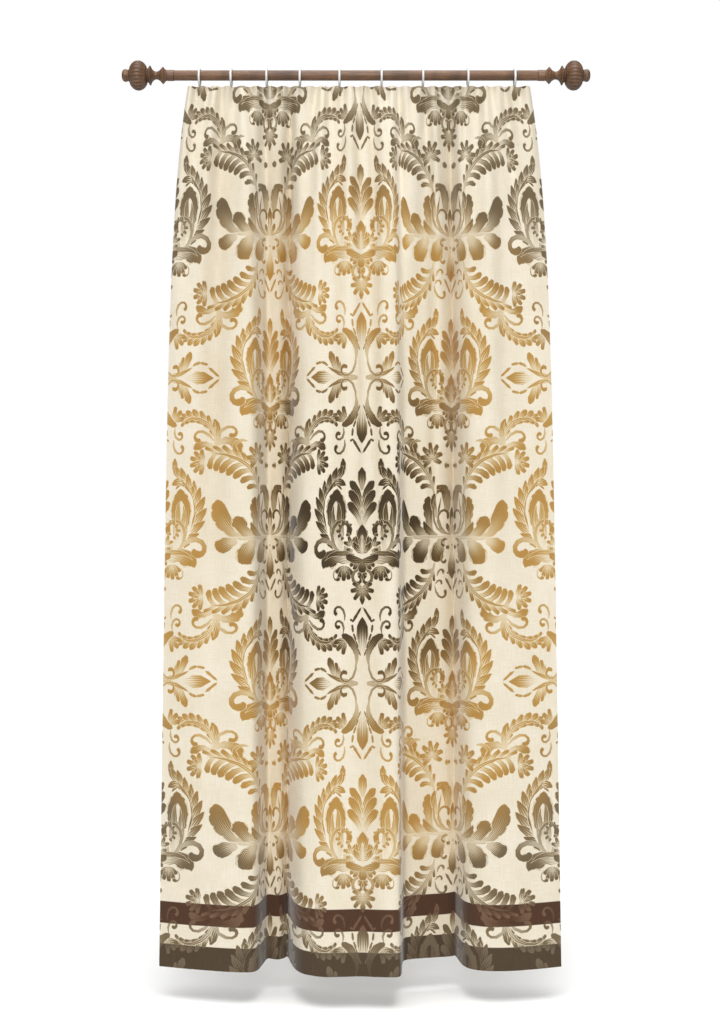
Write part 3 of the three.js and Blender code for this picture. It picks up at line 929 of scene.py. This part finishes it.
def stainedWood(name, group, pale, deep, figureShare, grooves=0.0):
    material, tree, shader = newMaterial(name, Coat_Weight=0.07, Coat_Roughness=0.35)
    coords = tree.nodes.new("ShaderNodeTexCoord").outputs["Object"]
    grain = tree.nodes.new("ShaderNodeGroup")
    grain.node_tree = group
    for name, value in (("Place", coords), ("Pale", pale), ("Deep", deep), ("Figure", figureShare)):
        connect(tree, grain.inputs[name], value)
    shade, height = grain.outputs["Colour"], grain.outputs["Height"]
    if grooves:                         # darker in the turned grooves and between the ribs
        hollow = ease(tree, readAttribute(tree, "hollow").outputs["Fac"], 0.0, 1.0)
        shade = blendColour(tree, calc(tree, "MULTIPLY", hollow, grooves), shade, colour(44, 31, 22))
    tree.links.new(shade, shader.inputs["Base Color"])
    connect(tree, shader.inputs["Roughness"], ease(tree, height, 0.2, 0.8, 0.6, 0.42))
    tree.links.new(bump(tree, height, 0.25, 0.0005), shader.inputs["Normal"])
    return material


rod = dict(radius=14 * mm, length=1.012, sides=64, edge=1 * mm)


def makeRod(material):
    bm = bmesh.new()
    bmesh.ops.create_cone(bm, cap_ends=True, segments=rod["sides"], radius1=rod["radius"],
                          radius2=rod["radius"], depth=rod["length"], matrix=Matrix.Rotation(pi / 2, 4, "Y"))
    caps = [e for e in bm.edges if len({round(v.co.x, 5) for v in e.verts}) == 1]
    bmesh.ops.bevel(bm, geom=caps, offset=rod["edge"], offset_type="OFFSET", segments=3, profile=0.5,
                    affect="EDGES", material=-1)
    piece = bmeshPiece("rod_turned", bm, material)
    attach(piece, "root")
    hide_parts("rod")
    print("rod made")


finial = dict(
    sides=96,
    ribs=24,                            # round the ball
    ribDepth=0.045,                     # share of the radius
    ribsFrom=78, ribsTo=122,            # millimetres out from the rod's end
    grooves=((72, 2.6, 1), (19, 1.2, 0.7), (125.5, 1.6, 0.8), (47, 7, 0.35)),       # out, half width, darkening
    # distance outwards from the rod's end, and radius
    profile=((0, 15), (17.5, 15), (19, 14.2), (25, 18), (29.5, 23.5), (33, 21), (39, 14.5), (48, 10.7),
             (56, 13.5), (61.5, 20), (65, 27), (68.5, 24.5), (70, 19.8), (74, 19.8), (77, 27), (84, 35.5),
             (92, 40), (99, 41), (107, 39.5), (115, 34), (121, 26), (124, 17), (127, 15.8), (133, 17.2),
             (139, 16.2), (143, 11), (144.5, 4.5), (144.8, 0)),
)


def makeFinial(side, material):
    f = finial
    outwardsRow, radiusRow = np.array(f["profile"], float).T
    lengthways = np.concatenate(([0], np.cumsum(np.hypot(np.diff(outwardsRow), np.diff(radiusRow)))))
    outs, radii = list(zip(lengthways, outwardsRow)), list(zip(lengthways, radiusRow))
    at = np.linspace(0, lengthways[-1], 150)
    out, radius = smoothRow(outs, at), np.maximum(smoothRow(radii, at), 0)
    radius[-1] = 0
    bm = bmesh.new()
    line = [bm.verts.new((o * mm, 0, r * mm)) for o, r in zip(out, radius)]
    line.insert(0, bm.verts.new((0, 0, 0)))
    edges = [bm.edges.new(pair) for pair in zip(line, line[1:])]
    bmesh.ops.spin(bm, geom=line + edges, cent=(0, 0, 0), axis=(1, 0, 0), angle=2 * pi, steps=f["sides"],
                   use_merge=True)
    bmesh.ops.remove_doubles(bm, verts=bm.verts, dist=0.01 * mm)
    shade = bm.verts.layers.float.new("hollow")
    for v in bm.verts:
        o = v.co.x / mm
        turn = np.arctan2(v.co.y, v.co.z)
        inBall = np.clip((o - f["ribsFrom"]) / 5, 0, 1) * np.clip((f["ribsTo"] - o) / 4, 0, 1)
        furrow = (1 - abs(sin(turn * f["ribs"] / 2))) ** 2 * inBall
        v.co.y *= 1 - f["ribDepth"] * furrow
        v.co.z *= 1 - f["ribDepth"] * furrow
        # darker colour in the turned grooves and in the furrows between the ribs
        grooveDarkening = sum(depth * np.exp(-((o - at) / halfWidth) ** 2) for at, halfWidth, depth in f["grooves"])
        v[shade] = min(furrow * 0.8 + grooveDarkening, 1)
    outAt = Matrix.Translation((rod["length"] / 2 + joint, 0, 0))
    turned = outAt if side > 0 else Matrix.Rotation(pi, 4, "Z") @ outAt
    bmesh.ops.transform(bm, matrix=turned, verts=bm.verts)
    bmesh.ops.recalc_face_normals(bm, faces=bm.faces)
    name = "finial_right" if side > 0 else "finial_left"
    piece = bmeshPiece(name + "_turned", bm, material, 60)
    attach(piece, "root")
    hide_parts(name)
    print(name, "made")


# Rings

ring = dict(bore=39 * mm, section=6 * mm, sides=72, sectionSides=20)
ringRadius = ring["bore"] / 2 + ring["section"] / 2
ringDrop = ring["bore"] / 2 - rod["radius"] - joint         # the ring's middle below the rod's axis


def ringPlastic():
    material, tree, shader = newMaterial("ringPlastic", Roughness=0.35, Coat_Weight=0.2, Coat_Roughness=0.2)
    coords = tree.nodes.new("ShaderNodeTexCoord").outputs["Object"]
    cloudy = ease(tree, noise(tree, coords, 60, 3, 0.6), 0.3, 0.7)
    shade = blendColour(tree, cloudy, colour(231, 232, 234), colour(244, 244, 243))
    tree.links.new(shade, shader.inputs["Base Color"])
    scuffs = noise(tree, stretch(tree, coords, (900, 300, 300)), 1, 3, 0.6)
    connect(tree, shader.inputs["Roughness"], ease(tree, scuffs, 0.3, 0.7, 0.3, 0.46))
    tree.links.new(bump(tree, scuffs, 0.08, 0.0002), shader.inputs["Normal"])
    return material


def makeRing(number, x, material):
    bm = bmesh.new()
    lift = Matrix.Translation((0, 0, ringRadius)) @ Matrix.Rotation(pi / 2, 4, "X")
    bmesh.ops.create_circle(bm, segments=ring["sectionSides"], radius=ring["section"] / 2, matrix=lift)
    bmesh.ops.spin(bm, geom=bm.verts[:] + bm.edges[:], cent=(0, 0, 0), axis=(1, 0, 0), angle=2 * pi,
                   steps=ring["sides"], use_merge=True)
    bmesh.ops.remove_doubles(bm, verts=bm.verts, dist=0.01 * mm)
    bmesh.ops.translate(bm, verts=bm.verts, vec=(x * mm, 0, -ringDrop))
    bmesh.ops.recalc_face_normals(bm, faces=bm.faces)
    piece = bmeshPiece(f"ring_{number}_round", bm, material, 80)
    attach(piece, "root")
    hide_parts(f"ring_{number}")


# Room

room = dict(
    floor=-0.09,                        # below the hem
    size=24,
    distance=4.3,                       # camera in front of the rod
    height=-1.096,
    side=0.011,
    framedHeight=2.86,                  # of the picture, at the rod
    ambient=0.3,
    # suns: way to each, spread in degrees and energy
    lamps=(("keyLamp", (-0.15, -3.2, 1.0), 26, 1.95), ("topLamp", (0, -0.2, 1), 40, 2.5)),
)


def makeFloor():
    bm = bmesh.new()
    bmesh.ops.create_grid(bm, x_segments=1, y_segments=1, size=room["size"] / 2,
                          matrix=Matrix.Translation((0, 0, cadBox[0][2] + room["floor"])))
    paleFloor = newMaterial("paleFloor", Base_Color=(0.93, 0.93, 0.92, 1), Roughness=0.9)[0]
    floor = bmeshPiece("floor", bm, paleFloor)
    floor.visible_diffuse = False
    print("floor made")


def makeLight():                        # white all round for the camera, dimmer for the light it gives
    world = bpy.data.worlds.new("studio")
    world.use_nodes = True
    tree = world.node_tree
    background = tree.nodes["Background"]
    background.inputs["Color"].default_value = (1, 1, 1, 1)
    seen = tree.nodes.new("ShaderNodeLightPath").outputs["Is Camera Ray"]
    strength = calc(tree, "MULTIPLY_ADD", seen, 1 - room["ambient"], room["ambient"])
    connect(tree, background.inputs["Strength"], strength)
    bpy.context.scene.world = world
    for name, towards, spread, energy in room["lamps"]:
        lamp = bpy.data.lights.new(name, "SUN")
        lamp.energy = energy
        lamp.angle = radians(spread)
        lampObject = link(bpy.data.objects.new(name, lamp))
        lampObject.rotation_mode = "QUATERNION"
        lampObject.rotation_quaternion = Vector(towards).to_track_quat("Z", "Y")
    head = bpy.data.lights.new("headLamp", "AREA")          # on the heading
    head.shape = "DISK"
    head.size = 1.2
    head.energy = 5
    headObject = link(bpy.data.objects.new("headLamp", head))
    headObject.location = (0, -2.3, 0.9)
    headObject.rotation_euler = (radians(58), 0, 0)
    print("lamps made")


def makeCamera():
    camera = bpy.data.cameras.new("camera")
    camera.sensor_width = 36
    camera.lens = camera.sensor_width * room["distance"] / room["framedHeight"]
    middleZ = (cadBox[0][2] + cadBox[1][2]) / 2
    camera.shift_y = (middleZ - room["height"]) / room["framedHeight"]
    cameraObject = link(bpy.data.objects.new("camera", camera))
    cameraObject.location = (room["side"], -room["distance"], room["height"])
    cameraObject.rotation_euler = (pi / 2, 0, 0)
    bpy.context.scene.camera = cameraObject
    bpy.context.scene.view_settings.view_transform = "Standard"
    print("camera made")


makeFloor()
makeLight()
makeCamera()
curtainPiece = makeCurtain(damaskCloth())
print("curtain made")
grain = grainGroup()
rodWood = stainedWood("rodWood", grain, colour(133, 96, 66), colour(90, 62, 41), 0.6)
finialWood = stainedWood("finialWood", grain, colour(129, 93, 64), colour(88, 60, 40), 0.4, 0.75)
makeRod(rodWood)
for side in (-1, 1):
    makeFinial(side, finialWood)
plastic = ringPlastic()
for number, (x, _) in enumerate(heading, 1):
    makeRing(number, x, plastic)
print("rings made")
